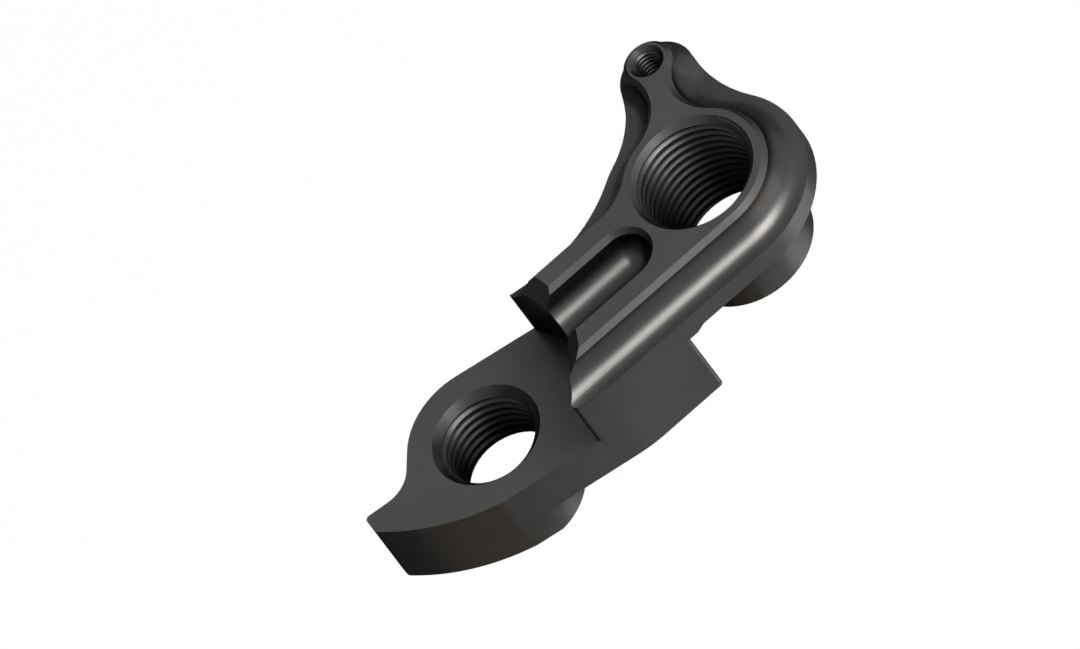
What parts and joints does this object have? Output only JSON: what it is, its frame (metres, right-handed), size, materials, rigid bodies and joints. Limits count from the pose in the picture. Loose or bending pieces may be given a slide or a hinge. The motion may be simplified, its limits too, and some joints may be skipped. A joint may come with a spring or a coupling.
{
  "type": "bicycle derailleur hanger",
  "caption": "Machined bicycle derailleur hanger: a flanged arm with a thru-axle thread, a stepped key block, and a derailleur thread beside a screw stop.",
  "frame": {"origin": "on the axis of the thru-axle thread, in the plane of the face that seats on the frame", "axes": "+Z outboard along the thru-axle, +X from the derailleur thread to the thru-axle thread, +Y towards the screw boss's side"},
  "size_m": [0.0533, 0.0276, 0.0164],
  "materials": {
    "body": "black anodised over machined surfaces, satin"
  },
  "bodies": {
    "root": {"hanger": "body"}
  },
  "joints": []
}
